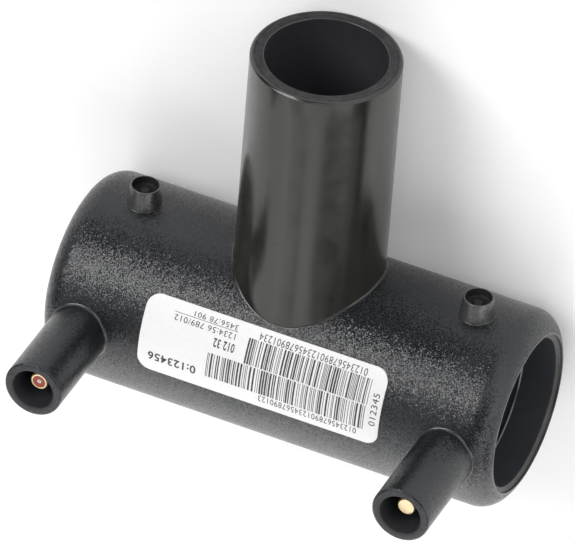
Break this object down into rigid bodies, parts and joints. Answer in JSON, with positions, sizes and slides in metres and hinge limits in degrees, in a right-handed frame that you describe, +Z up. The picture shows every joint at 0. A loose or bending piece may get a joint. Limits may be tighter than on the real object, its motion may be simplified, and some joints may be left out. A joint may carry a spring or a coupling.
{
  "type": "electrofusion tee",
  "caption": "Black plastic pipe tee: a run with a fusion socket at each end, a plain spigot branch, shrouded terminals, fusion indicators and a label.",
  "frame": {"origin": "on the floor, under the middle of the box round the tee as it lies on its back", "axes": "X along the run, Y the way the branch points (dipping 4.5 degrees until its rim meets the floor), Z up, the way the terminals point"},
  "size_m": [0.1036, 0.0972, 0.0658],
  "materials": {
    "black_polyethylene": "satin, finely spark-eroded on the run, smooth on the branch",
    "resistance_wire": "drawn",
    "terminal_brass": "turned, bright",
    "red_insert": "moulded",
    "tinned_contact": "tinned",
    "label_film": "smooth film"
  },
  "bodies": {
    "root": {"tee_body": "black_polyethylene", "heating_wire": "resistance_wire", "terminal_pin_left": "terminal_brass", "terminal_pin_right": "terminal_brass", "resistor_insert": "red_insert", "resistor_contact": "tinned_contact", "indicator_pin_left": "black_polyethylene", "indicator_pin_right": "black_polyethylene", "label": "label_film"}
  },
  "joints": []
}
